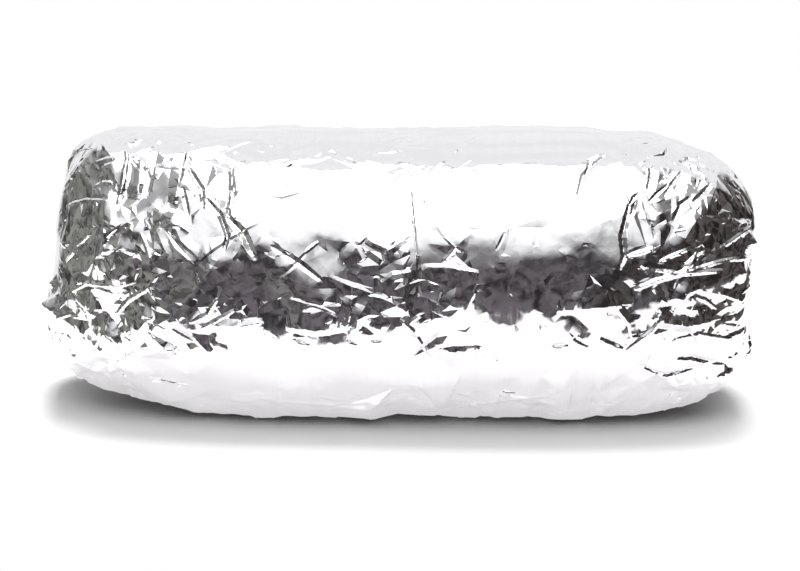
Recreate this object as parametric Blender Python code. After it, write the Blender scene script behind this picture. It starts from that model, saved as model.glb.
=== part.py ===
# A burrito rolled in crumpled aluminium foil, lying on its side.
# Metres, +Z up, long axis along X, front towards -Y.
# The origin is on the surface it rests on, under the middle of its length.

import math
import random

import bpy
import numpy as np

NAME = "foil_wrapped_burrito"

# Driving dimensions of the whole wrap
LENGTH = 0.1762
DEPTH = 0.0672
HEIGHT = 0.0675
SLUMP = 0.0035  # how much of the round section the flat underside takes away
FLOOR_ROUND = 0.0026  # radius of the turn where the flat underside begins

# Squareness of the section, above and below its widest line
ROUND_ABOVE = 2.38
ROUND_BELOW = 2.8

# How far the widest line sags below mid height, as a share of half the height, by the
# distance along the wrap from the middle in mm
SAG = ((-90, 0.18), (-40, 0.22), (-6, 0.22), (14, 0.02), (52, 0.0), (66, 0.1), (90, 0.08))

# Squareness of the two ends: in plan, and in profile above and below the widest line
LEFT_PLAN, LEFT_ABOVE, LEFT_BELOW = 2.85, 11.4, 2.9
RIGHT_PLAN, RIGHT_ABOVE, RIGHT_BELOW = 3.45, 5.1, 3.8
LEFT_LEAN = 0.17  # the left end leans inwards towards its top
RIGHT_LEAN = 0.045
LEAN_START = 0.0660  # distance from the middle where the lean begins
LEAN_PIVOT = 0.35  # share of the height that the lean leaves where it is

# Grid of the fine mesh, and what it is simplified to
RINGS = 360
SPOKES = 240
TRIANGLES = 11600
UNDERSIDE = 0.0003  # points of the underside lower than this lie flat on the floor

# Lumps of the filling under the foil
LUMP_HEIGHT = 0.0008
LUMP_WAVES = 9
LUMPS_ROUND = 4  # most lumps in one wave round the girth
LUMPS_ALONG = (12.0, 70.0)  # waves along the wrap, radians per metre

# The relief dies away on the innermost rings of the two ends, of this radius
POLE_CALM = 0.0085

# Main creases. Each row is kind, depth, half width, then its route as pairs of
# distance along the wrap from the middle in mm and angle round the girth in degrees:
# 0 faces the front, 90 is the top, 180 the back.
MAIN_CREASES = (
    ("groove", 0.0010, 0.0026, ((3, 150), (3, 105), (3, 53), (4, 28), (7, 3), (10, -22), (8, -48))),
    ("ridge", 0.0014, 0.0039, ((-33, 27), (-18, 13), (-3, 1), (7, -8))),
    ("groove", 0.0011, 0.0028, ((-37, 68), (-42, 44), (-42, 36), (-38, 24), (-35, 12))),
    ("groove", 0.0010, 0.0026, ((-52, 74), (-49, 55), (-45, 38), (-44, 20))),
    ("ridge", 0.0016, 0.0035, ((-68, 84), (-68, 68), (-70, 44), (-71, 26), (-69, 4))),
    ("ridge", 0.0012, 0.0030, ((-76, 62), (-68, 68), (-57, 86))),
    ("groove", 0.0008, 0.0018, ((-62, 66), (-61, 46), (-55, 30), (-50, 16))),
    ("groove", 0.0012, 0.0028, ((59, 58), (57, 36), (55, 24), (55, 2), (52, -14))),
    ("ridge", 0.0012, 0.0029, ((64, 66), (61, 50), (57, 36))),
    ("ridge", 0.0016, 0.0035, ((57, 2), (68, 11), (80, 16), (90, 20))),
    ("ridge", 0.0013, 0.0031, ((62, -2), (68, 10), (73, 32))),
    ("ridge", 0.0014, 0.0035, ((-66, -12), (-57, -3), (-49, 8), (-45, 16))),
    ("ridge", 0.0012, 0.0033, ((-52, -14), (-42, -9), (-33, -14))),
    ("groove", 0.0010, 0.0026, ((11, -22), (17, -19), (22, -23))),
    ("groove", 0.0010, 0.0028, ((52, -18), (57, -27), (66, -24), (80, -20))),
    ("fold", 0.0012, 0.0104, ((-83, 196), (-52, 203), (-17, 199), (19, 204), (52, 200), (81, 206))),
)

# Random creases, zone by zone: from where to where along the wrap in mm and round the
# girth in degrees, how many, how deep in metres, how many times wider than deep, how
# long in metres, the direction they favour (0 along the wrap, 90 round it) and how far
# they stray from it, in degrees.
ZONES = (
    ((-108, -66), (0, 360), 110, 0.0011, (2.6, 6.0), 0.0208, 0, 28),
    ((-71, -38), (0, 360), 100, 0.0009, (3.0, 7.0), 0.0173, 90, 50),
    ((-73, 14), (-22, 26), 85, 0.0008, (3.5, 8.0), 0.0150, 40, 90),
    ((-52, 9), (55, 130), 40, 0.0006, (3.0, 7.0), 0.0156, 60, 60),
    ((-43, 48), (140, 230), 60, 0.0008, (3.0, 7.0), 0.0191, 90, 60),
    ((-43, 52), (0, 360), 46, 0.0004, (3.0, 7.0), 0.0225, 90, 40),
    ((13, 57), (-30, 0), 14, 0.0006, (3.0, 7.0), 0.0121, 70, 60),
    ((-69, 69), (238, 345), 60, 0.0006, (3.0, 7.0), 0.0191, 90, 60),
    ((53, 73), (0, 360), 80, 0.0009, (2.8, 6.5), 0.0173, 70, 60),
    ((66, 108), (0, 360), 110, 0.0011, (2.6, 6.0), 0.0208, 0, 28),
)
SEED = 24
LENGTH_SPREAD = (0.4, 1.25)  # shares of a zone's length and depth that its creases take
DEPTH_SPREAD = (0.4, 1.2)
BEND = 0.3  # most that a random crease turns to either side on its way, in radians
LEAST_GIRTH = 0.008  # near the tips of the ends a crease is unrolled as if the radius were this
TIP_WIDTH = 0.55  # width of a crease at its two tips, as a share of its full width
SHORT_SIDE = 4.0  # how much steeper the short side of a fold is than its long side
KINDS = ("ridge", "groove", "groove", "fold")
STEEPEST = 0.0016  # the relief bends over smoothly towards this height above or below the wrap
SPREAD = 14  # rings and spokes over which the relief is levelled, so that it keeps the outline


def smooth_step(low, high, value):
    share = np.clip((value - low) / (high - low), 0.0, 1.0)
    return share * share * (3.0 - 2.0 * share)


def soft_floor(z, radius):
    # Rounds the corner where the section meets the floor, then holds it at zero.
    return np.where(z > radius, z, np.where(z < -radius, 0.0, (z + radius) ** 2 / (4.0 * radius)))


def by_side(x, left, right):
    return np.where(x < 0.0, left, right)


def stations():
    # Evenly spaced rings along the foil: the distance from the middle ring, and x.
    # The outer ones close over the two ends.
    fine = np.linspace(0.0, 0.5 * math.pi, 4000)
    halves = []
    for squareness in (LEFT_PLAN, RIGHT_PLAN):
        along = 0.5 * LENGTH * np.sin(fine) ** (2.0 / squareness)
        across = 0.5 * HEIGHT * np.cos(fine) ** (2.0 / squareness)
        steps = np.hypot(np.diff(along), np.diff(across))
        halves.append((np.concatenate([[0.0], np.cumsum(steps)]), along))
    (left_run, left_x), (right_run, right_x) = halves
    run = np.linspace(-left_run[-1], right_run[-1], RINGS)
    x = np.where(run < 0.0, -np.interp(-run, left_run, left_x), np.interp(run, right_run, right_x))
    return run, x


def section(x, turn):
    # The smooth wrap before its folds: depth and height at a station and an angle.
    share = np.clip(np.abs(x) / (0.5 * LENGTH), 0.0, 1.0)
    plan = by_side(x, LEFT_PLAN, RIGHT_PLAN)
    upper = np.sin(turn) > 0.0
    face = np.where(upper, by_side(x, LEFT_ABOVE, RIGHT_ABOVE), by_side(x, LEFT_BELOW, RIGHT_BELOW))
    full_height = HEIGHT + SLUMP
    half_depth = 0.5 * DEPTH * (1.0 - share**plan) ** (1.0 / plan)
    sag = np.interp(x, [0.001 * along for along, _ in SAG], [drop for _, drop in SAG])
    tall = 0.5 * full_height * np.where(upper, 1.0 + sag, 1.0 - sag)
    half_height = tall * (1.0 - share**face) ** (1.0 / face)
    power = np.where(upper, ROUND_ABOVE, ROUND_BELOW)
    cosine, sine = np.cos(turn), np.sin(turn)
    reach = (np.abs(cosine) ** power + np.abs(sine) ** power) ** (-1.0 / power)
    y = -half_depth * reach * cosine
    z = half_height * reach * sine + 0.5 * full_height * (1.0 - sag) - SLUMP
    return y, z


def lean_over(x, z):
    lean = by_side(x, LEFT_LEAN, -RIGHT_LEAN) * smooth_step(LEAN_START, 0.5 * LENGTH, np.abs(x))
    return x + lean * (z - LEAN_PIVOT * HEIGHT)


def smooth_points():
    run, x_ring = stations()
    angles = np.linspace(0.0, 2.0 * math.pi, SPOKES, endpoint=False)
    x, turn = np.meshgrid(x_ring, angles, indexing="ij")
    y, z = section(x, turn)
    points = np.stack([lean_over(x, z), y, z], axis=-1)
    return run, turn, points


def outward(points):
    # Unit normals of the ring grid.
    along = np.gradient(points, axis=0)
    around = np.roll(points, -1, axis=1) - np.roll(points, 1, axis=1)
    normal = np.cross(along, around)
    length = np.linalg.norm(normal, axis=-1, keepdims=True)
    normal /= np.maximum(length, 1e-12)
    normal[0] = (-1.0, 0.0, 0.0)
    normal[-1] = (1.0, 0.0, 0.0)
    return normal


def girth_radius(points):
    # Mean distance of each ring from its own centre.
    centre = points.mean(axis=1, keepdims=True)
    return np.linalg.norm(points - centre, axis=-1).mean(axis=1)


def lumps(run, turn, random_source):
    height = np.zeros_like(turn)
    for _ in range(LUMP_WAVES):
        around = random_source.randint(0, LUMPS_ROUND)
        along = random_source.uniform(*LUMPS_ALONG)
        phase = random_source.uniform(0.0, 2.0 * math.pi)
        height += np.sin(along * run[:, None] + around * turn + phase)
    return LUMP_HEIGHT * height / math.sqrt(LUMP_WAVES)


def crease(height, run, turn, radius, kind, depth, half_width, route):
    # Adds one crease to the height map. Its route is laid out on the foil unrolled flat.
    places = [(0.001 * along, math.radians(angle)) for along, angle in route]
    middle_run, middle_turn = places[len(places) // 2]
    margin = 2.0 * half_width
    lowest = min(along for along, _ in places) - margin
    highest = max(along for along, _ in places) + margin
    rows = np.where((run > lowest) & (run < highest))[0]
    if len(rows) == 0:
        return
    rows = slice(rows[0], rows[-1] + 1)
    scale = max(float(np.interp(middle_run, run, radius)), LEAST_GIRTH)
    across = (turn[rows] - middle_turn + math.pi) % (2.0 * math.pi) - math.pi
    flat = np.stack([np.broadcast_to(run[rows, None], across.shape), across * scale], axis=-1)
    path = [np.array([along, (angle - middle_turn) * scale]) for along, angle in places]
    lengths = [float(np.linalg.norm(b - a)) for a, b in zip(path, path[1:])]
    total = sum(lengths)
    nearest = np.full(across.shape, 1.0)
    side = np.zeros(across.shape)
    share = np.zeros(across.shape)
    done = 0.0
    for a, b, length in zip(path, path[1:], lengths):
        way = (b - a) / length
        offset = flat - a
        reach = np.clip(offset @ way, 0.0, length)
        apart = flat - (a + reach[..., None] * way)
        distance = np.linalg.norm(apart, axis=-1)
        closer = distance < nearest
        nearest = np.where(closer, distance, nearest)
        side = np.where(closer, way[0] * apart[..., 1] - way[1] * apart[..., 0], side)
        share = np.where(closer, (done + reach) / total, share)
        done += length
    taper = np.sqrt(np.clip(4.0 * share * (1.0 - share), 0.0, 1.0))
    width = half_width * (TIP_WIDTH + (1.0 - TIP_WIDTH) * taper)
    slope = np.clip(1.0 - nearest / width, 0.0, 1.0)
    if kind == "fold":
        slope = np.where(side > 0.0, slope, np.clip(1.0 - SHORT_SIDE * nearest / width, 0.0, 1.0))
    sign = -1.0 if kind == "groove" else 1.0
    height[rows] += sign * depth * taper * slope


def random_creases(height, run, turn, radius, random_source):
    for (low, high), (first, last), count, depth, flatness, length, favoured, spread in ZONES:
        for _ in range(count):
            along = random_source.uniform(low, high)
            angle = random_source.uniform(first, last)
            lean = math.radians(favoured + random_source.uniform(-spread, spread))
            reach = 500.0 * length * random_source.uniform(*LENGTH_SPREAD)
            scale = 1000.0 * max(float(np.interp(0.001 * along, run, radius)), LEAST_GIRTH)
            bend = random_source.uniform(-BEND, BEND)
            route = []
            for share in (-1.0, 0.0, 1.0):
                heading = lean + bend * share
                route.append(
                    (
                        along + share * reach * math.cos(heading),
                        angle + math.degrees(share * reach * math.sin(heading) / scale),
                    )
                )
            kind = random_source.choice(KINDS)
            deep = depth * random_source.uniform(*DEPTH_SPREAD)
            wide = deep * random_source.uniform(*flatness)
            crease(height, run, turn, radius, kind, deep, wide, route)


def levelled(height):
    # Takes the slow swell out of the relief and bends its tallest peaks over.
    slow = height
    for _ in range(2):
        around = sum(np.roll(slow, step, axis=1) for step in range(-SPREAD, SPREAD + 1))
        padded = np.pad(around, ((SPREAD, SPREAD), (0, 0)), mode="edge")
        slow = sum(padded[step : step + len(height)] for step in range(2 * SPREAD + 1))
        slow = slow / (2 * SPREAD + 1) ** 2
    return STEEPEST * np.tanh((height - slow) / STEEPEST)


def mesh_from(points):
    rings, spokes, _ = points.shape
    inner = points[1:-1].reshape(-1, 3)
    ends = np.array([points[0].mean(axis=0), points[-1].mean(axis=0)])
    left, right = len(inner), len(inner) + 1
    last = (rings - 3) * spokes
    faces = []
    for s in range(spokes):
        t = (s + 1) % spokes
        faces.append((left, s, t))
        faces.append((right, last + t, last + s))
        for r in range(rings - 3):
            here, there = r * spokes, (r + 1) * spokes
            faces.append((here + s, there + s, there + t, here + t))
    mesh = bpy.data.meshes.new(NAME)
    mesh.from_pydata(np.concatenate([inner, ends]).tolist(), [], faces)
    mesh.update()
    return mesh


def simplified(mesh):
    # The same surface with few triangles, which gather along the creases.
    rough = bpy.data.objects.new("fine_foil", mesh)
    bpy.context.scene.collection.objects.link(rough)
    thin = rough.modifiers.new("Decimate", "DECIMATE")
    thin.ratio = TRIANGLES / (2.0 * (RINGS - 2) * SPOKES)
    graph = bpy.context.evaluated_depsgraph_get()
    light = bpy.data.meshes.new_from_object(rough.evaluated_get(graph))
    bpy.data.objects.remove(rough)
    places = np.array([vertex.co[:] for vertex in light.vertices])
    places[:, 2] = np.where(places[:, 2] < UNDERSIDE, 0.0, places[:, 2])
    middle = 0.5 * (places.min(axis=0) + places.max(axis=0))
    places[:, :2] -= middle[:2]
    light.vertices.foreach_set("co", places.ravel())
    return light


def foil_material():
    material = bpy.data.materials.new("aluminium_foil")
    material.use_nodes = True
    shader = material.node_tree.nodes["Principled BSDF"]
    shader.inputs["Base Color"].default_value = (0.82, 0.83, 0.84, 1.0)
    shader.inputs["Metallic"].default_value = 1.0
    shader.inputs["Roughness"].default_value = 0.2
    return material


def main():
    for old in list(bpy.data.objects):
        bpy.data.objects.remove(old)
    random_source = random.Random(SEED)
    run, turn, points = smooth_points()
    radius = girth_radius(points)
    height = np.zeros_like(turn)
    for kind, depth, half_width, route in MAIN_CREASES:
        crease(height, run, turn, radius, kind, depth, half_width, route)
    random_creases(height, run, turn, radius, random_source)
    height = levelled(height) + lumps(run, turn, random_source)
    height *= smooth_step(0.0, POLE_CALM, radius)[:, None]
    points = points + outward(points) * height[..., None]
    points[..., 2] = soft_floor(points[..., 2], FLOOR_ROUND)
    foil = bpy.data.objects.new(NAME, simplified(mesh_from(points)))
    foil.data.materials.append(foil_material())
    bpy.context.scene.collection.objects.link(foil)


main()
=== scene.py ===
import math

import bpy
import numpy as np
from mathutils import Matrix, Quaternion, Vector
from mathutils.bvhtree import BVHTree
from mathutils.geometry import delaunay_2d_cdt
from mathutils.kdtree import KDTree


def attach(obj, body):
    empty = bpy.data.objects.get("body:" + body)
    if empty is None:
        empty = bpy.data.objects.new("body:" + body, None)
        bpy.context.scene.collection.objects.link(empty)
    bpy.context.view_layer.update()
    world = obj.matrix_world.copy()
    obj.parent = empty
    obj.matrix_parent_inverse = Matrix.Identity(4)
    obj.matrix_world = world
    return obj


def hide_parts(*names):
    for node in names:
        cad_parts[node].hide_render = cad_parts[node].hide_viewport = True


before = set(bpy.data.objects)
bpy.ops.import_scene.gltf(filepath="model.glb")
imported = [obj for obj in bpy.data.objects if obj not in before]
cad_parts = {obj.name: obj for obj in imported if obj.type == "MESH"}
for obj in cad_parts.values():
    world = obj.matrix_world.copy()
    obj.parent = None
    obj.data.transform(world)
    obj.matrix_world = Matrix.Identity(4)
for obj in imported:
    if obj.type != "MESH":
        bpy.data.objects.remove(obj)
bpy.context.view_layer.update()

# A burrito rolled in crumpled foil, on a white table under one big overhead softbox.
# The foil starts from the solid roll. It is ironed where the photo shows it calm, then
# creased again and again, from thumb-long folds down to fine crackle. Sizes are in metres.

scene = bpy.context.scene


def smoothStep(low, high, value):
    share = np.clip((value - low) / (high - low), 0.0, 1.0)
    return share * share * (3.0 - 2.0 * share)


def bump(value, low, high, soft):
    # 1 between low and high, falling to 0 over soft on both sides
    return smoothStep(low - soft, low, value) * (1.0 - smoothStep(high, high + soft, value))


def readPoints(mesh):
    points = np.empty(len(mesh.vertices) * 3)
    mesh.vertices.foreach_get("co", points)
    return points.reshape(-1, 3)


def readNormals(mesh):
    normals = np.empty(len(mesh.vertices) * 3)
    mesh.vertices.foreach_get("normal", normals)
    return normals.reshape(-1, 3)


def applied(obj):
    # Swaps the object's mesh for the one its modifiers give
    graph = bpy.context.evaluated_depsgraph_get()
    done = bpy.data.meshes.new_from_object(obj.evaluated_get(graph))
    old = obj.data
    obj.modifiers.clear()
    obj.data = done
    bpy.data.meshes.remove(old)


def regrid(obj, name, size):
    grid = obj.modifiers.new(name, "REMESH")
    grid.mode = "VOXEL"
    grid.voxel_size = size


def smoothOut(obj, name, rounds, group=""):
    smooth = obj.modifiers.new(name, "SMOOTH")
    smooth.factor = 0.5  # every pass goes halfway
    smooth.iterations = rounds
    smooth.vertex_group = group


# Foil sheet

foilSheet = {
    "ironGrid": 0.0008,  # grid of the coarse sheet that is ironed first
    "ironRounds": 190,  # smoothing passes over the calm parts
    "ironSteps": 10,  # strengths of ironing between none and full
    "leastIron": 0.80,  # share of the ironing that even crumpled foil gets
    "crispEnds": (0.066, 0.074),  # past here the corners of the ends keep their crispness
    "fineGrid": 0.00023,  # grid of the fine sheet before its creases
    "settleRounds": 12,  # smoothing passes over everything, to lose the grid steps
    "softenRounds": 1,  # smoothing passes after the creases
    "triangles": 190000,
    "flatBelow": 0.0002,  # foil lower than this lies flat on the table
    "sharpAngle": 6.0,  # degrees; edges sharper than this stay crisp
}

unrolled = {
    "middle": 0.033,  # height of the line the girth is measured round
    "radius": 0.036,  # girth radius of the foil laid flat
    "reach": 0.128,  # length of half the foil laid flat, to the middle of an end
    "overlap": 0.012,  # how much of the flat foil is repeated past the seam
    "turning": (0.055, 0.078),  # where along the roll the foil turns onto the ends
}


def unroll(points):
    # Each point's place on the foil laid flat: distance along it, angle round the girth in
    # degrees (0 front, 90 top, 180 back), and how far from the middle line it lies
    rise = points[:, 2] - unrolled["middle"]
    out = np.hypot(points[:, 1], rise)
    turned = smoothStep(*unrolled["turning"], np.abs(points[:, 0]))
    inward = np.maximum(0.0, unrolled["radius"] - out) * turned
    along = points[:, 0] + np.sign(points[:, 0]) * inward
    angle = np.degrees(np.arctan2(rise, -points[:, 1])) % 360.0
    return along, angle, out


everywhere = (-999.0, 999.0, 1.0)  # a zone's limits where it has none
crumple = {
    # each zone's share of crumpling, then where it starts and ends and how softly it fades:
    # first along the roll in millimetres to the right of its middle, then round it in degrees
    "zones": {
        "leftEnd": (0.34, (-999.0, -72.0, 10.0), everywhere),
        "rightEnd": (0.40, (60.0, 999.0, 14.0), everywhere),
        "frontBand": (0.48, (-72.0, 12.0, 6.0), (-12.0, 22.0, 6.0)),
        "rightBand": (0.16, (12.0, 56.0, 6.0), (-14.0, 30.0, 8.0)),
        "rightEdge": (0.26, (12.0, 56.0, 6.0), (-22.0, -9.0, 4.0)),
        "shoulder": (0.42, (-72.0, -40.0, 5.0), (15.0, 84.0, 10.0)),
        "crown": (0.30, (-34.0, 12.0, 6.0), (62.0, 76.0, 6.0)),
        "back": (0.55, everywhere, (110.0, 250.0, 15.0)),
        "waist": (0.30, (-1.5, 8.0, 2.5), (0.0, 150.0, 20.0)),
        "lowerLeft": (0.60, (-999.0, -50.0, 16.0), (-22.0, -10.0, 4.0)),
        "corner": (0.55, (-999.0, -66.0, 12.0), (-48.0, -20.0, 6.0)),
        "hem": (0.60, everywhere, (-80.0, -38.0, 5.0)),
    },
    "calmPatch": (0.60, (-50.0, -16.0, 5.0), (2.0, 16.0, 4.0)),  # share it takes off the front band
    "overTheTop": 100.0,  # zones that end past this angle reach round the back
}


def zoneShare(zone, millimetres, angle, signed):
    share, (start, end, fade), (low, high, blur) = zone
    turn = angle if high > crumple["overTheTop"] else signed
    return share * bump(millimetres, start, end, fade) * bump(turn, low, high, blur)


def crumpleShare(along, angle):
    # How crumpled the foil is at each place: 0 ironed flat, 1 crushed all over
    places = (1000.0 * along, angle, (angle + 180.0) % 360.0 - 180.0)
    shares = {name: zoneShare(zone, *places) for name, zone in crumple["zones"].items()}
    shares["frontBand"] *= 1.0 - zoneShare(crumple["calmPatch"], *places)
    return np.clip(np.maximum.reduce(list(shares.values())), 0.0, 1.0)


def fineSheet(solid, settings):
    # The roll's own solid as a fine even grid, ironed where the foil is calm
    sheet = bpy.data.objects.new("foil_sheet", solid.data.copy())
    scene.collection.objects.link(sheet)
    regrid(sheet, "coarse_grid", settings["ironGrid"])
    applied(sheet)
    along, angle, _ = unroll(readPoints(sheet.data))
    calm = sheet.vertex_groups.new(name="calm")
    floor = settings["leastIron"] * (1.0 - smoothStep(*settings["crispEnds"], np.abs(along)))
    weight = np.maximum(floor, (1.0 - crumpleShare(along, angle)) ** 2)
    steps = settings["ironSteps"]
    for level in range(1, steps + 1):
        chosen = np.where(np.round(weight * steps) == level)[0]
        calm.add(chosen.tolist(), level / steps, "REPLACE")
    smoothOut(sheet, "iron", settings["ironRounds"], "calm")
    regrid(sheet, "fine_grid", settings["fineGrid"])
    smoothOut(sheet, "settle", settings["settleRounds"])
    applied(sheet)
    sheet.vertex_groups.clear()
    return sheet


# Creases

creaseShape = {
    "endWidth": 0.5,  # share of its width that a crease keeps at its two ends
    "steepSide": 3.0,  # how many times steeper the short side of a fold is
}


def creaseWidth(width, taper):
    # Half width along a crease, where taper goes from 0 at its ends to 1 at its middle
    return width * (creaseShape["endWidth"] + (1.0 - creaseShape["endWidth"]) * taper)


def creaseProfile(kind, sideways, span):
    # Height across a crease, from 0 at its borders to 1 or -1 along its line
    reach = np.abs(sideways) / span
    if kind == "fold":
        reach = np.where(sideways > 0.0, reach, creaseShape["steepSide"] * reach)
    profile = np.clip(1.0 - reach, 0.0, 1.0)
    return -profile if kind == "groove" else profile


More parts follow.
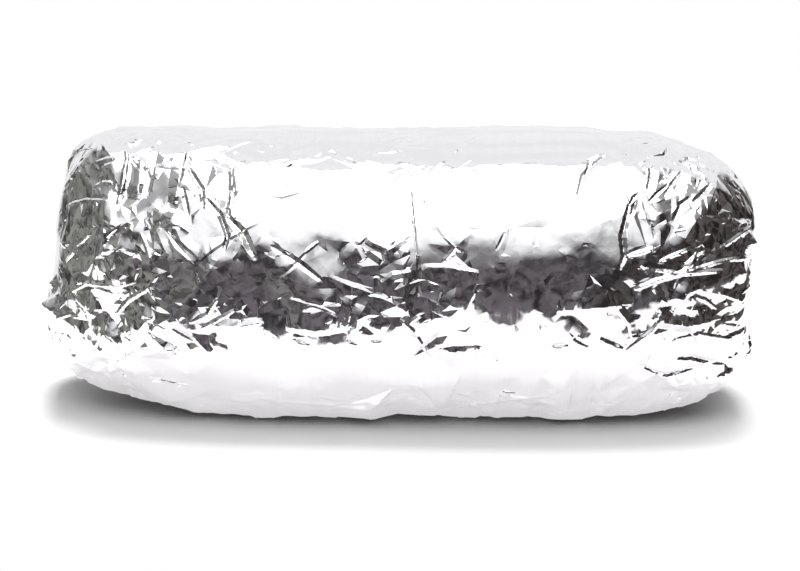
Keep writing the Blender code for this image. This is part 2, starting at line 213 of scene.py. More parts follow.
photoCreases = {
    "frame": (800.0, 571.0),  # the photo's own width and height, in which the routes are given
    "step": 0.0003,  # spacing of the points along a route on the foil
    "look": 1.2,  # how far round each of them foil is looked for, in half widths
    # kind, half width, slope of its sides, route in the photo's pixels
    "routes": (
        # the waist, and the creases close to it
        ("groove", 0.0004, 0.40, ((414, 124), (411, 150), (410, 185), (413, 215), (415, 240), (418, 265))),
        ("groove", 0.0006, 0.50, ((418, 255), (419, 275), (419, 297))),
        ("ridge", 0.0007, 0.42, ((400, 319), (412, 331), (422, 345), (434, 357))),
        ("fold", 0.0040, 0.09, ((487, 356), (477, 351), (448, 352), (435, 355))),
        ("ridge", 0.0005, 0.40, ((478, 284), (463, 315))),
        # broad facets along the lower edge of the dark band
        ("fold", 0.0050, 0.15, ((655, 321), (685, 325), (712, 321))),
        ("fold", 0.0045, 0.14, ((556, 311), (590, 309), (620, 306))),
        ("fold", 0.0045, 0.13, ((285, 327), (315, 331), (345, 329))),
        ("fold", 0.0050, 0.15, ((264, 322), (240, 326), (212, 324))),
        # upright facets on the left shoulder
        ("fold", 0.0036, 0.20, ((137, 200), (141, 178), (143, 154))),
        ("fold", 0.0026, 0.20, ((174, 204), (180, 178), (186, 152))),
        ("fold", 0.0030, 0.20, ((122, 196), (126, 180), (128, 164))),
        # the long diagonals left of the waist
        ("groove", 0.0010, 0.30, ((270, 245), (300, 264), (322, 281))),
        ("fold", 0.0034, 0.12, ((408, 313), (397, 306), (373, 293), (349, 285), (330, 278))),
        # crumples in the strip along the top
        ("groove", 0.0007, 0.35, ((197, 141), (188, 154), (184, 166))),
        ("groove", 0.0004, 0.45, ((196, 164), (212, 165), (221, 167), (227, 178))),
        ("groove", 0.0004, 0.35, ((209, 143), (223, 142))),
        ("groove", 0.0005, 0.40, ((257, 148), (263, 153), (268, 159))),
        ("groove", 0.0006, 0.30, ((268, 163), (286, 159))),
        ("ridge", 0.0005, 0.30, ((300, 159), (330, 158), (352, 168))),
        ("groove", 0.0004, 0.35, ((386, 144), (396, 142), (403, 139))),
        ("groove", 0.0004, 0.35, ((404, 138), (411, 144))),
        ("groove", 0.0004, 0.30, ((372, 152), (386, 152), (400, 151))),
        ("ridge", 0.0005, 0.30, ((618, 146), (640, 142), (658, 145))),
        # facets above the dark band
        ("fold", 0.0024, 0.12, ((412, 272), (392, 275), (382, 282))),
        ("fold", 0.0030, 0.10, ((479, 273), (448, 268), (424, 266))),
        ("fold", 0.0040, 0.11, ((366, 240), (389, 250), (404, 240))),
        # fine creases in the strip and the long highlight
        ("ridge", 0.0005, 0.45, ((478, 135), (454, 153))),
        ("groove", 0.0006, 0.40, ((270, 171), (300, 165), (329, 157), (356, 170))),
        ("groove", 0.0006, 0.45, ((280, 185), (300, 179), (320, 173))),
        ("groove", 0.0006, 0.45, ((270, 197), (282, 199), (306, 192))),
        ("groove", 0.0007, 0.45, ((390, 184), (400, 173), (424, 166))),
        ("ridge", 0.0006, 0.45, ((428, 176), (444, 160))),
        # long grooves on the left shoulder
        ("groove", 0.0009, 0.60, ((232, 166), (232, 193), (228, 217))),
        ("groove", 0.0012, 0.55, ((228, 217), (243, 233), (255, 257))),
        ("groove", 0.0008, 0.60, ((206, 199), (220, 215), (228, 236), (224, 251))),
        ("groove", 0.0009, 0.60, ((188, 165), (194, 177), (202, 190), (203, 208))),
        ("groove", 0.0007, 0.55, ((182, 186), (188, 214))),
        # left end
        ("ridge", 0.0007, 0.55, ((125, 134), (128, 161), (123, 185), (118, 207))),
        ("ridge", 0.0006, 0.50, ((127, 158), (149, 147), (169, 137))),
        ("ridge", 0.0006, 0.50, ((66, 207), (85, 200), (104, 200))),
        ("ridge", 0.0007, 0.50, ((95, 163), (121, 159))),
        ("ridge", 0.0007, 0.60, ((103, 228), (104, 245))),
        ("ridge", 0.0007, 0.45, ((66, 262), (74, 252), (80, 240))),
        ("ridge", 0.0006, 0.45, ((78, 246), (86, 238), (92, 233))),
        ("ridge", 0.0007, 0.45, ((60, 240), (64, 246), (68, 244))),
        ("ridge", 0.0008, 0.45, ((58, 192), (70, 180), (78, 164))),
        ("ridge", 0.0008, 0.45, ((64, 186), (76, 172), (84, 158))),
        ("ridge", 0.0007, 0.45, ((98, 176), (106, 168), (114, 163))),
        ("ridge", 0.0007, 0.45, ((94, 186), (104, 184), (112, 182))),
        ("groove", 0.0007, 0.45, ((86, 150), (90, 142), (94, 138))),
        ("fold", 0.0018, 0.15, ((100, 140), (106, 150), (112, 156))),
        ("ridge", 0.0006, 0.50, ((70, 292), (88, 283), (104, 286), (124, 284))),
        ("ridge", 0.0008, 0.45, ((88, 276), (98, 288), (112, 294))),
        # between the left end and the long grooves
        ("ridge", 0.0006, 0.45, ((140, 232), (146, 246), (150, 262))),
        ("groove", 0.0009, 0.45, ((106, 240), (118, 232), (130, 224))),
        ("fold", 0.0021, 0.12, ((104, 252), (124, 248), (142, 252))),
        ("groove", 0.0007, 0.50, ((146, 166), (150, 178), (146, 196))),
        ("groove", 0.0007, 0.50, ((154, 162), (152, 180), (148, 194))),
        # left half of the dark band
        ("ridge", 0.0007, 0.50, ((157, 277), (145, 290), (129, 300), (113, 318))),
        ("fold", 0.0021, 0.15, ((149, 218), (160, 238), (168, 257))),
        ("fold", 0.0021, 0.15, ((162, 224), (180, 240), (197, 257))),
        ("ridge", 0.0008, 0.50, ((75, 282), (109, 284), (127, 284))),
        ("ridge", 0.0007, 0.50, ((217, 298), (208, 314), (191, 322))),
        ("ridge", 0.0007, 0.50, ((235, 310), (218, 320), (203, 328))),
        # right shoulder
        ("groove", 0.0008, 0.50, ((594, 133), (603, 156), (597, 161), (583, 175), (577, 199))),
        ("groove", 0.0007, 0.50, ((648, 157), (651, 173), (648, 190))),
        ("groove", 0.0010, 0.60, ((629, 204), (623, 237), (625, 256), (621, 268))),
        ("groove", 0.0007, 0.55, ((637, 197), (629, 221))),
        # right end, where many ridges meet
        ("ridge", 0.0007, 0.50, ((626, 257), (657, 248))),
        ("ridge", 0.0008, 0.55, ((634, 289), (656, 281), (680, 274), (726, 270))),
        ("ridge", 0.0006, 0.55, ((656, 270), (680, 274), (704, 252))),
        ("ridge", 0.0006, 0.55, ((674, 290), (680, 274), (720, 262), (751, 255))),
        ("fold", 0.0030, 0.15, ((673, 313), (688, 294), (702, 288))),
        ("ridge", 0.0007, 0.50, ((752, 224), (737, 237), (719, 249))),
        ("ridge", 0.0007, 0.40, ((626, 352), (652, 330), (664, 316))),
        ("ridge", 0.0006, 0.45, ((660, 262), (676, 254), (692, 247))),
        ("ridge", 0.0007, 0.45, ((684, 266), (696, 258), (706, 251))),
        ("fold", 0.0018, 0.15, ((712, 293), (728, 296), (740, 301))),
        ("ridge", 0.0007, 0.45, ((696, 297), (706, 301), (714, 307))),
        # over the right end's upper corner
        ("groove", 0.0009, 0.50, ((674, 222), (681, 205), (692, 196))),
        ("groove", 0.0009, 0.50, ((693, 203), (703, 194), (710, 185))),
        ("groove", 0.0006, 0.45, ((648, 203), (658, 192), (668, 184))),
        ("groove", 0.0006, 0.45, ((664, 196), (672, 183), (682, 171))),
        ("groove", 0.0006, 0.45, ((630, 205), (634, 198), (638, 194))),
        ("groove", 0.0008, 0.45, ((679, 163), (688, 158), (694, 161))),
        ("groove", 0.0006, 0.45, ((690, 164), (697, 176), (696, 186))),
        # tip of the right end
        ("ridge", 0.0008, 0.45, ((728, 218), (740, 224), (752, 220))),
        ("ridge", 0.0006, 0.45, ((716, 213), (724, 222), (733, 226))),
        ("groove", 0.0007, 0.45, ((733, 180), (745, 196), (754, 214))),
        ("groove", 0.0006, 0.45, ((724, 178), (734, 190), (744, 204))),
        # below the right half of the dark band
        ("groove", 0.0009, 0.50, ((600, 337), (612, 341), (622, 346))),
        ("fold", 0.0019, 0.17, ((732, 339), (700, 335), (676, 340))),
        ("groove", 0.0010, 0.50, ((725, 336), (746, 327))),
        ("fold", 0.0018, 0.15, ((616, 307), (629, 324), (633, 340))),
        ("groove", 0.0006, 0.50, ((638, 364), (664, 374), (694, 368))),
        ("groove", 0.0008, 0.50, ((676, 357), (692, 357), (724, 363))),
        ("groove", 0.0007, 0.50, ((552, 346), (567, 345))),
        ("groove", 0.0007, 0.50, ((573, 337), (587, 346))),
        # short marks below the left half of the dark band
        ("groove", 0.0005, 0.55, ((293, 338), (308, 344))),
        ("groove", 0.0005, 0.55, ((346, 340), (357, 344))),
        ("groove", 0.0005, 0.55, ((370, 341), (382, 342))),
        # soft folds low down
        ("ridge", 0.0008, 0.22, ((318, 388), (322, 398), (346, 402))),
        ("groove", 0.0007, 0.35, ((416, 386), (432, 402), (446, 412))),
        ("fold", 0.0027, 0.10, ((470, 408), (505, 397), (530, 404))),
        ("fold", 0.0021, 0.10, ((236, 405), (262, 398), (290, 408))),
        # edge of the strip along the top
        ("groove", 0.0005, 0.45, ((280, 171), (300, 160), (330, 158))),
        ("groove", 0.0006, 0.45, ((240, 178), (262, 172), (300, 164))),
        ("groove", 0.0005, 0.40, ((447, 170), (490, 167), (540, 165))),
        ("fold", 0.0015, 0.13, ((540, 165), (562, 167), (580, 165))),
        ("groove", 0.0006, 0.45, ((584, 180), (590, 160), (604, 152))),
        ("ridge", 0.0005, 0.45, ((476, 134), (454, 152))),
        # just above the ground
        ("ridge", 0.0008, 0.30, ((280, 402), (330, 405), (400, 400))),
        ("ridge", 0.0008, 0.30, ((440, 412), (470, 404), (520, 398), (560, 396))),
    ),
}


foilTips = {
    # pinched corners of foil that stick out at the two ends: half width, height, and place in
    # the photo's pixels
    "places": (
        (0.0040, 0.0030, (52, 306)),
        (0.0026, 0.0016, (55, 284)),
        (0.0034, 0.0024, (748, 242)),
        (0.0026, 0.0014, (744, 228)),
        (0.0030, 0.0016, (741, 272)),
    ),
    "pinch": 1.4,  # 1 gives a plain cone, more a thinner tip
}


def cameraStand(settings):
    # Where the camera stands: back from its aim, and up by its elevation
    lift = math.radians(settings["elevation"])
    return Vector(settings["aim"]) + Vector((0.0, -math.cos(lift), math.sin(lift))) * settings["distance"]


def sightLine(pixel, settings):
    # The camera's line of sight through one pixel of the photo
    width, tall = photoCreases["frame"]
    lift = math.radians(settings["elevation"])
    tilt = math.radians(settings["roll"])
    perPixel = settings["sensor"] / settings["lensLength"] / width
    right = (pixel[0] - 0.5 * width) * perPixel
    up = (0.5 * tall - pixel[1]) * perPixel
    across = right * math.cos(tilt) - up * math.sin(tilt)
    rise = right * math.sin(tilt) + up * math.cos(tilt)
    ahead = math.cos(lift) + rise * math.sin(lift)
    return Vector((across, ahead, rise * math.cos(lift) - math.sin(lift))).normalized()


def placeOnSheet(pixel, solid, tree):
    # The fine sheet's point that the photo shows at a pixel, or None where it shows no foil
    hit, spot, _, _ = solid.ray_cast(cameraStand(studio), sightLine(pixel, studio))
    return tree.find(spot)[0] if hit else None


def pinchTips(solid, tree, height):
    for width, tall, pixel in foilTips["places"]:
        spot = placeOnSheet(pixel, solid, tree)
        if spot is None:
            continue
        for _, index, far in tree.find_range(spot, width):
            height[index] += tall * (1.0 - far / width) ** foilTips["pinch"]


def routeOnFoil(stops, step):
    # Points along a route, with its heading there and the share of the route done so far
    lengths = [np.linalg.norm(b - a) for a, b in zip(stops, stops[1:])]
    total = sum(lengths)
    done = 0.0
    for a, b, length in zip(stops, stops[1:], lengths):
        way = (b - a) / length
        for count in range(int(length / step) + 1):
            yield a + way * (count * step), way, (done + count * step) / total
        done += length


def creaseAlongRoutes(solid, points, normals, tree, height):
    # The creases that the photo shows one by one, laid on the foil where its camera sees them
    spacing = photoCreases["step"]
    for kind, width, slope, route in photoCreases["routes"]:
        spots = [placeOnSheet(pixel, solid, tree) for pixel in route]
        stops = [np.array(spot) for spot in spots if spot is not None]
        if len(stops) < 2:
            continue
        nearest = {}  # for each point of the foil: how far off the route, on which side, share done
        for middle, way, share in routeOnFoil(stops, spacing):
            spot, index, _ = tree.find(middle)
            middle = middle + normals[index] * ((np.array(spot) - middle) @ normals[index])
            near = tree.find_range(middle, photoCreases["look"] * width)
            picked = np.fromiter((found[1] for found in near), dtype=np.int64, count=len(near))
            offset = points[picked] - middle
            forward = offset @ way
            apart = offset - np.outer(forward, way)
            past = np.maximum(0.0, np.abs(forward) - spacing)
            distance = np.hypot(np.linalg.norm(apart, axis=1), past)
            side = np.sign(np.einsum("ij,ij->i", np.cross(normals[picked], way), apart))
            for index, far, hand in zip(picked.tolist(), distance.tolist(), side.tolist()):
                if index not in nearest or far < nearest[index][0]:
                    nearest[index] = (far, hand, share)
        picked = np.fromiter(nearest.keys(), dtype=np.int64)
        facts = np.array(list(nearest.values()))
        taper = np.sqrt(np.clip(4.0 * facts[:, 2] * (1.0 - facts[:, 2]), 0.0, 1.0))
        profile = creaseProfile(kind, facts[:, 0] * facts[:, 1], creaseWidth(width, taper))
        height[picked] += width * slope * taper * profile


foilFacets = {
    "seed": 11,
    # flat facets by size: their width, steepest slope, how few reach it (the higher, the
    # fewer), and share of it on calm foil
    "sizes": (
        {"size": 0.0052, "slope": 0.34, "few": 3.2, "calm": 0.02},
        {"size": 0.0018, "slope": 0.32, "few": 3.4, "calm": 0.03},
    ),
    "border": 1.2,  # how far past the flat foil its four outer corners lie
    "above": 0.1,  # height from which the facets are looked down on
    "merge": 1e-7,  # points closer than this become one
}


def facetTerrain(facet, settings, dice):
    # Random points over the flat foil, each lifted or sunk, joined by flat triangles
    reach, overlap = unrolled["reach"], unrolled["overlap"]
    girth = 2.0 * math.pi * unrolled["radius"]
    count = int(2.0 * reach * girth / facet["size"] ** 2)
    along = dice.uniform(-reach, reach, count)
    around = dice.uniform(0.0, girth, count)
    share = np.maximum(facet["calm"], crumpleShare(along, np.degrees(around / unrolled["radius"])))
    lift = dice.uniform(-1.0, 1.0, count)
    lift = np.sign(lift) * np.abs(lift) ** facet["few"] * share * facet["slope"] * facet["size"]
    spots = np.stack([along, around, lift], axis=1)
    turn = np.array([0.0, girth, 0.0])  # repeats the foil past its seam
    repeated = [spots, spots[around > girth - overlap] - turn, spots[around < overlap] + turn]
    outer = settings["border"] * reach
    border = [(u, v, 0.0) for u in (-outer, outer) for v in (-overlap, girth + overlap)]
    spots = np.concatenate(repeated + [np.array(border)])
    flat = [Vector(spot[:2]) for spot in spots.tolist()]
    corners, _, triangles, origins, _, _ = delaunay_2d_cdt(flat, [], [], 0, settings["merge"])
    lifts = [spots[origin[0]][2] for origin in origins]
    places = [(corner.x, corner.y, lift) for corner, lift in zip(corners, lifts)]
    return BVHTree.FromPolygons(places, triangles)


def creaseInFacets(points, height, settings):
    along, angle, out = unroll(points)
    around = np.radians(angle) * unrolled["radius"]
    fade = np.clip(out / unrolled["radius"], 0.0, 1.0)  # gentler towards the middle of an end
    dice = np.random.default_rng(settings["seed"])
    down = Vector((0.0, 0.0, -1.0))
    for facet in settings["sizes"]:
        terrain = facetTerrain(facet, settings, dice)
        lift = np.zeros(len(points))
        for index, (u, v) in enumerate(zip(along.tolist(), around.tolist())):
            spot = terrain.ray_cast(Vector((u, v, settings["above"])), down)[0]
            if spot is not None:
                lift[index] = spot.z
        height += lift * fade
        print("facets of", facet["size"], "done")


randomCreases = {
    "seed": 11,
    # creases by size: how many, length, half width, slope of their sides, and how many of
    # them fall on calm foil
    "sizes": (
        {"count": 140, "length": (0.009, 0.022), "width": (0.0015, 0.0036), "slope": (0.06, 0.16),
         "calm": 0.01},
        {"count": 170, "length": (0.004, 0.011), "width": (0.0004, 0.0007), "slope": (0.28, 0.60),
         "calm": 0.06},
        {"count": 300, "length": (0.0015, 0.006), "width": (0.0004, 0.0006), "slope": (0.12, 0.35),
         "calm": 0.12},
    ),
    "tries": 6,  # places drawn for each crease, as most of them turn out too calm
    "faint": 0.35,  # share of its depth that a crease keeps on the calmest foil
    "bend": 0.12,  # most that they curve, as a share of half their length
    "endStart": 0.070,  # from here on they run towards the tips
    "endTurn": 0.7,  # most that they turn off that way, in radians
    "faceLimit": 0.35,  # foil that faces sideways more than this leaves is an end face
    "faceMiddle": 0.035,  # height of an end face's middle
}


def directionsOnFoil(centre, normal, settings):
    # The way along the roll and the way round it; on an end face, out from its middle and round that
    along = np.array([1.0, 0.0, 0.0]) - normal * normal[0]
    if np.linalg.norm(along) < settings["faceLimit"]:
        along = np.array([0.0, -centre[1], settings["faceMiddle"] - centre[2]])
        along -= normal * (along @ normal)
    along /= np.linalg.norm(along) + 1e-9  # never divides by nothing
    return along, np.cross(normal, along)


def creaseAtRandom(points, normals, tree, height, settings):
    along, angle, _ = unroll(points)
    crumpled = crumpleShare(along, angle)
    dice = np.random.default_rng(settings["seed"])
    kinds = ("ridge", "groove", "fold")
    drawn = 0
    for size in settings["sizes"]:
        wanted = size["count"]
        for index in dice.integers(0, len(points), settings["tries"] * size["count"]):
            chance = max(crumpled[index], size["calm"])
            if wanted == 0 or dice.random() > chance:
                continue
            wanted -= 1
            centre, normal = points[index], normals[index]
            along, around = directionsOnFoil(centre, normal, settings)
            turn = dice.uniform(0.0, math.pi)
            if abs(centre[0]) > settings["endStart"]:
                turn = dice.uniform(-settings["endTurn"], settings["endTurn"])
            heading = math.cos(turn) * along + math.sin(turn) * around
            across = np.cross(normal, heading)
            half = 0.5 * dice.uniform(*size["length"])
            width = dice.uniform(*size["width"])
            strength = settings["faint"] + (1.0 - settings["faint"]) * chance
            deep = width * dice.uniform(*size["slope"]) * strength
            bend = dice.uniform(-settings["bend"], settings["bend"]) / half
            near = tree.find_range(centre, math.hypot(half, width))
            picked = np.fromiter((found[1] for found in near), dtype=np.int64, count=len(near))
            offset = points[picked] - centre
            forward = offset @ heading
            sideways = offset @ across + bend * forward**2
            taper = np.sqrt(np.clip(1.0 - (forward / half) ** 2, 0.0, 1.0))
            kind = kinds[dice.integers(0, len(kinds))]
            height[picked] += deep * taper * creaseProfile(kind, sideways, creaseWidth(width, taper))
            drawn += 1
    print("random creases:", drawn)


def creaseSheet(sheet, solid):
    points = readPoints(sheet.data)
    normals = readNormals(sheet.data)
    tree = KDTree(len(points))
    for index, point in enumerate(points.tolist()):
        tree.insert(point, index)
    tree.balance()
    height = np.zeros(len(points))
    creaseInFacets(points, height, foilFacets)
    creaseAtRandom(points, normals, tree, height, randomCreases)
    creaseAlongRoutes(solid, points, normals, tree, height)
    pinchTips(solid, tree, height)
    points += normals * height[:, None]
    points[:, 2] = np.maximum(points[:, 2], 0.0)
    sheet.data.vertices.foreach_set("co", points.ravel())
    sheet.data.update()


def thinSheet(sheet, settings):
    # Fewer triangles, gathered along the creases
    smoothOut(sheet, "soften", settings["softenRounds"])
    sheet.data.calc_loop_triangles()
    thin = sheet.modifiers.new("thin", "DECIMATE")
    thin.ratio = min(1.0, settings["triangles"] / len(sheet.data.loop_triangles))
    applied(sheet)
    points = readPoints(sheet.data)
    points[:, 2] = np.where(points[:, 2] < settings["flatBelow"], 0.0, points[:, 2])
    sheet.data.vertices.foreach_set("co", points.ravel())
    sheet.data.update()
    sheet.data.shade_smooth()
    sheet.data.set_sharp_from_angle(angle=math.radians(settings["sharpAngle"]))


# Material nodes

def fillSocket(tree, socket, value):
    # A socket takes another node's output or a fixed value
    if isinstance(value, bpy.types.NodeSocket):
        tree.links.new(value, socket)
    else:
        socket.default_value = value


def rampedValue(tree, source, span, easing="LINEAR"):
    # Carries a value over from the span's first two numbers to its last two
    ramp = tree.nodes.new("ShaderNodeMapRange")
    ramp.interpolation_type = easing
    for name, value in zip(("From Min", "From Max", "To Min", "To Max"), span):
        ramp.inputs[name].default_value = value
    tree.links.new(source, ramp.inputs["Value"])
    return ramp.outputs[0]


def combinedValue(tree, operation, *values):
    maths = tree.nodes.new("ShaderNodeMath")
    maths.operation = operation
    for socket, value in zip(maths.inputs, values):
        fillSocket(tree, socket, value)
    return maths.outputs[0]


def mixedColour(tree, share, first, second):
    mix = tree.nodes.new("ShaderNodeMix")
    mix.data_type = "RGBA"
    tree.links.new(share, mix.inputs["Factor"])
    colours = [socket for socket in mix.inputs if socket.type == "RGBA"]
    fillSocket(tree, colours[0], first)
    fillSocket(tree, colours[1], second)
    return [socket for socket in mix.outputs if socket.type == "RGBA"][0]


def noiseValue(tree, place, settings):
    noise = tree.nodes.new("ShaderNodeTexNoise")
    for name, value in settings.items():
        noise.inputs[name].default_value = value
    tree.links.new(place, noise.inputs["Vector"])
    return noise.outputs["Fac"]


def reliefNode(tree, height, strength, depth):
    relief = tree.nodes.new("ShaderNodeBump")
    relief.inputs["Strength"].default_value = strength
    relief.inputs["Distance"].default_value = depth
    tree.links.new(height, relief.inputs["Height"])
    return relief


# Foil finish

foilFinish = {
    "bright": (0.93, 0.93, 0.94, 1.0),
    "dull": (0.89, 0.89, 0.90, 1.0),
    "roughness": (0.075, 0.17),  # of the brightest and of the dullest foil
    "stretch": (700.0, 45.0, 45.0),  # fineness of the rolling streaks along the roll and round it
    "streaks": {"Scale": 1.0, "Detail": 4.0, "Roughness": 0.6, "Distortion": 0.4},
    "streakSpan": (0.42, 0.68, 0.0, 1.0),
    "streakRelief": (0.05, 0.00002),  # strength and depth
    "haze": {"Scale": 60.0, "Detail": 3.0},
    "hazeSpan": (0.35, 0.65, 0.25, 1.0),
    "dullSpan": (0.1, 1.0, 0.0, 0.7),  # how rubbed foil turns to the dull colour
    "crackle": 420.0,  # fine creases per metre
    "crackleRelief": (0.5, 0.00005),
}


def foilMaterial(settings):
    material = bpy.data.materials.new("crumpled_foil")
    material.use_nodes = True
    tree = material.node_tree
    shader = tree.nodes["Principled BSDF"]
    shader.inputs["Metallic"].default_value = 1.0
    place = tree.nodes.new("ShaderNodeTexCoord").outputs["Object"]

    # Rolling streaks: fine across the roll's length, long round its girth
    stretch = tree.nodes.new("ShaderNodeMapping")
    stretch.inputs["Scale"].default_value = settings["stretch"]
    tree.links.new(place, stretch.inputs["Vector"])
    streaks = noiseValue(tree, stretch.outputs["Vector"], settings["streaks"])

    # Handling haze: broad soft patches where the foil has been rubbed dull
    haze = noiseValue(tree, place, settings["haze"])
    streaked = rampedValue(tree, streaks, settings["streakSpan"])
    hazed = rampedValue(tree, haze, settings["hazeSpan"])
    rubbed = combinedValue(tree, "MULTIPLY", streaked, hazed)
    rough = rampedValue(tree, rubbed, (0.0, 1.0) + settings["roughness"])
    tree.links.new(rough, shader.inputs["Roughness"])
    dulled = rampedValue(tree, rubbed, settings["dullSpan"])
    tone = mixedColour(tree, dulled, settings["bright"], settings["dull"])
    tree.links.new(tone, shader.inputs["Base Color"])

    # Crackle, creases too fine for the mesh, with the streaks as faint lines over it
    crackle = tree.nodes.new("ShaderNodeTexVoronoi")
    crackle.feature = "F1"
    crackle.inputs["Scale"].default_value = settings["crackle"]
    tree.links.new(place, crackle.inputs["Vector"])
    broken = reliefNode(tree, crackle.outputs["Distance"], *settings["crackleRelief"])
    lined = reliefNode(tree, streaks, *settings["streakRelief"])
    tree.links.new(broken.outputs["Normal"], lined.inputs["Normal"])
    tree.links.new(lined.outputs["Normal"], shader.inputs["Normal"])
    return material


# Studio

studio = {
    "lensLength": 100.0,
    "sensor": 36.0,
    "elevation": 15.0,  # degrees the camera stands above the table
    "roll": 0.7,  # degrees; the right side a little lower in the picture
    "distance": 0.555,  # from the camera to its aim
    "aim": (0.00055, 0.0, 0.0282),
    "boxHeight": 0.65,
    "boxWidth": 0.77,  # along the roll
    "boxRight": 0.025,  # how far its middle stands to the right
    "boxFront": 41.0,  # where the softbox begins and ends, as elevations seen from the roll
    "boxBack": 103.0,
    "boxWatts": 3.2,
    "boxLean": 0.0001,  # a hair's tilt, so that its long side keeps along the roll
    "fillWatts": 12.5,
    "fillSize": 0.5,
    "fillPlace": (0.0, 0.36, 0.8),
}


def pointAt(obj, place, target):
    obj.location = place
    obj.rotation_mode = "QUATERNION"
    obj.rotation_quaternion = (Vector(target) - Vector(place)).to_track_quat("-Z", "Y")


def makeCamera(settings):
    lens = bpy.data.cameras.new("photo_camera")
    lens.lens = settings["lensLength"]
    lens.sensor_width = settings["sensor"]
    camera = bpy.data.objects.new("photo_camera", lens)
    scene.collection.objects.link(camera)
    pointAt(camera, cameraStand(settings), settings["aim"])
    camera.rotation_quaternion @= Quaternion((0.0, 0.0, 1.0), math.radians(settings["roll"]))
    scene.camera = camera


def makeSoftbox(settings):
    height = settings["boxHeight"]
    front = -height / math.tan(math.radians(settings["boxFront"]))
    back = -height / math.tan(math.radians(settings["boxBack"]))
    light = bpy.data.lights.new("softbox", "AREA")
    light.shape = "RECTANGLE"
    light.size = settings["boxWidth"]
    light.size_y = back - front
    light.energy = settings["boxWatts"]
    box = bpy.data.objects.new("softbox", light)
    scene.collection.objects.link(box)
    middle = 0.5 * (front + back)
    aside = settings["boxRight"]
    pointAt(box, (aside, middle, height), (aside, middle + settings["boxLean"], 0.0))
    box.visible_camera = False


def makeFill(settings):
    # A light for the table that the foil does not mirror
    light = bpy.data.lights.new("table_fill", "AREA")
    light.size = settings["fillSize"]
    light.energy = settings["fillWatts"]
    fill = bpy.data.objects.new("table_fill", light)
    scene.collection.objects.link(fill)
    fill.location = settings["fillPlace"]
    fill.visible_camera = False
    fill.visible_glossy = False


# The foil mirrors this table darker and with an even glow: a painted reflection, flatter than the lit
# table
tableTop = {
    "edges": (-0.170, 0.168, -0.1254, 0.50),  # left, right, front and back edge
    "turn": -24.0,  # degrees; its front edge runs away from the roll towards the right
    "colour": (0.93, 0.93, 0.93, 1.0),
    "roughness": 0.6,
    "mirrored": (0.36, 0.353, 0.357, 1.0),  # its colour in the foil's reflections alone, a darker copy: painted shade in the foil's mirror images
    "paintedReflectionGlow": (1.0, 0.985, 0.99, 1.0),  # a glow the table gives only where the foil mirrors it, though it is no lamp: painted light in the foil's mirror images
    "paintedGlowStrength": 0.60,  # strength of that painted glow
}


def makeTable(settings):
    mesh = bpy.data.meshes.new("table_top")
    left, right, front, back = settings["edges"]
    corners = [(left, front, 0.0), (right, front, 0.0), (right, back, 0.0), (left, back, 0.0)]
    mesh.from_pydata(corners, [], [(0, 1, 2, 3)])
    table = bpy.data.objects.new("table_top", mesh)
    table.rotation_euler = (0.0, 0.0, math.radians(settings["turn"]))
    scene.collection.objects.link(table)
    paint = bpy.data.materials.new("white_table")
    paint.use_nodes = True
    tree = paint.node_tree
    shader = tree.nodes["Principled BSDF"]
    shader.inputs["Roughness"].default_value = settings["roughness"]
    shader.inputs["Emission Color"].default_value = settings["paintedReflectionGlow"]
    ray = tree.nodes.new("ShaderNodeLightPath")
    mirrored = ray.outputs["Is Glossy Ray"]
    # Rays that the foil mirrors see the darker copy of the table's colour: painted shade in its
    # reflections
    tone = mixedColour(tree, mirrored, settings["colour"], settings["mirrored"])
    tree.links.new(tone, shader.inputs["Base Color"])
    # The painted glow is for the foil's mirror images alone, so it counts until the ray has lit a dull
    # surface
    direct = combinedValue(tree, "LESS_THAN", ray.outputs["Diffuse Depth"], 0.5)
    glowing = combinedValue(tree, "MULTIPLY", mirrored, direct)
    glow = combinedValue(tree, "MULTIPLY", glowing, settings["paintedGlowStrength"])
    tree.links.new(glow, shader.inputs["Emission Strength"])
    mesh.materials.append(paint)


room = {
    # colours of the room that the foil mirrors, and spans that blend them by direction (X to
    # the right, Y to the back, Z up, each up to 1): where a blend starts and is full, then its
    # share at both
    "leftWall": (0.105, 0.105, 0.098, 1.0),
    "leftSpan": (-0.75, -0.15, 0.0, 1.0),
    "front": (0.065, 0.058, 0.064, 1.0),
    "rightWall": (0.040, 0.035, 0.034, 1.0),
    "rightSpan": (0.1, 0.6, 0.0, 1.0),
    "patches": {"Scale": 5.0, "Detail": 3.0},
    "wallPatches": (0.35, 0.68, 0.45, 2.8),  # how much darker and brighter the patches are
    "glow": (1.1, 1.1, 1.122, 1.0),  # soft front edge of the softbox
    "glowUp": (0.15, 0.55, 0.0, 1.0),
    "glowAside": (0.35, 0.62, 1.0, 0.0),
    "glowBack": (0.1, 0.3, 1.0, 0.0),
    "shoulder": (0.42, 0.42, 0.4242, 1.0),  # soft light beyond the softbox's two ends
    "shoulderUp": (0.42, 0.80, 0.0, 1.0),
    "shoulderAside": (0.30, 0.55, 0.0, 1.0),
    "dimBackdrop": (0.87, 0.87, 0.8787, 1.0),  # the backdrop is lit a little unevenly
    "brightBackdrop": (0.93, 0.93, 0.9393, 1.0),
    "backdropPatches": (0.35, 0.65, 0.0, 1.0),
    "backdropBack": (0.28, 0.31, 0.0, 1.0),
    "backdropAside": (0.60, 0.80, 1.0, 0.0),
    "seenWhite": (1.0, 1.0, 1.0, 1.0),  # what the camera itself sees behind the table
    "spill": (0.0, 1.0, 1.0, 0.45),  # share of the room's light that falls on the table
}


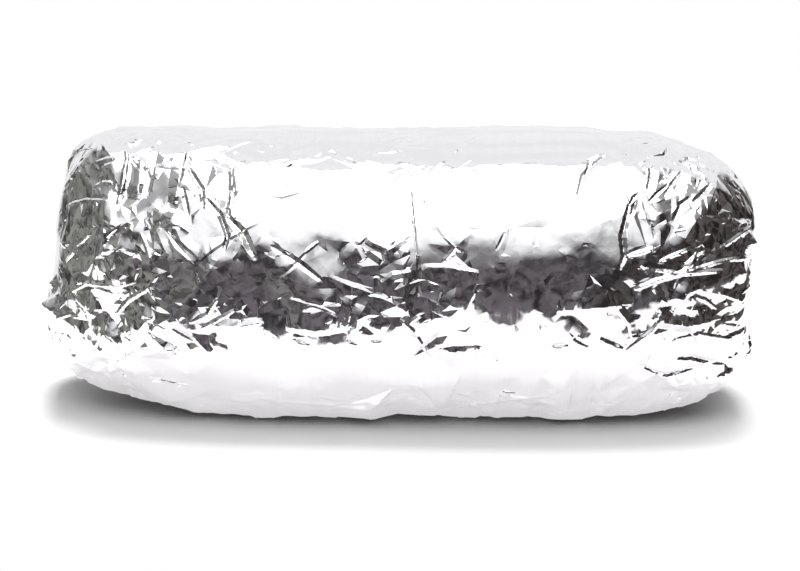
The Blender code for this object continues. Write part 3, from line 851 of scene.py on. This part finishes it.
def makeWorld(settings):
    world = bpy.data.worlds.new("studio_room")
    scene.world = world
    world.use_nodes = True
    tree = world.node_tree
    tree.nodes.clear()
    place = tree.nodes.new("ShaderNodeTexCoord").outputs["Generated"]
    split = tree.nodes.new("ShaderNodeSeparateXYZ")
    tree.links.new(place, split.inputs[0])
    right, back, up = split.outputs
    aside = combinedValue(tree, "ABSOLUTE", right)
    cloud = noiseValue(tree, place, settings["patches"])

    def eased(source, name):
        return rampedValue(tree, source, settings[name], "SMOOTHSTEP")

    def both(first, second):
        return combinedValue(tree, "MULTIPLY", first, second)

    wall = mixedColour(tree, eased(right, "leftSpan"), settings["leftWall"], settings["front"])
    wall = mixedColour(tree, eased(right, "rightSpan"), wall, settings["rightWall"])
    patched = tree.nodes.new("ShaderNodeVectorMath")
    patched.operation = "SCALE"
    tree.links.new(wall, patched.inputs[0])
    tree.links.new(eased(cloud, "wallPatches"), patched.inputs["Scale"])
    ahead = both(eased(aside, "glowAside"), eased(back, "glowBack"))
    glowing = both(eased(up, "glowUp"), ahead)
    lit = mixedColour(tree, glowing, patched.outputs[0], settings["glow"])
    beyond = both(eased(up, "shoulderUp"), eased(aside, "shoulderAside"))
    lit = mixedColour(tree, beyond, lit, settings["shoulder"])
    uneven = eased(cloud, "backdropPatches")
    backdrop = mixedColour(tree, uneven, settings["dimBackdrop"], settings["brightBackdrop"])
    behind = both(eased(back, "backdropBack"), eased(aside, "backdropAside"))
    lit = mixedColour(tree, behind, lit, backdrop)

    ray = tree.nodes.new("ShaderNodeLightPath")
    around = tree.nodes.new("ShaderNodeBackground")
    tree.links.new(lit, around.inputs["Color"])
    tree.links.new(eased(ray.outputs["Is Diffuse Ray"], "spill"), around.inputs["Strength"])
    white = tree.nodes.new("ShaderNodeBackground")
    white.inputs["Color"].default_value = settings["seenWhite"]
    mix = tree.nodes.new("ShaderNodeMixShader")
    tree.links.new(ray.outputs["Is Camera Ray"], mix.inputs[0])
    tree.links.new(around.outputs[0], mix.inputs[1])
    tree.links.new(white.outputs[0], mix.inputs[2])
    out = tree.nodes.new("ShaderNodeOutputWorld")
    tree.links.new(mix.outputs[0], out.inputs[0])


print("camera, table and light")
makeCamera(studio)
makeSoftbox(studio)
makeFill(studio)
makeTable(tableTop)
makeWorld(room)
scene.view_settings.view_transform = "Standard"

print("foil sheet")
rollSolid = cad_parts["foil_wrapped_burrito"]
sheet = fineSheet(rollSolid, foilSheet)
print("fine grid:", len(sheet.data.vertices), "points")
creaseSheet(sheet, rollSolid)
thinSheet(sheet, foilSheet)
print("foil sheet:", len(sheet.data.polygons), "faces")
sheet.data.materials.clear()
sheet.data.materials.append(foilMaterial(foilFinish))
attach(sheet, "root")
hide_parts("foil_wrapped_burrito")
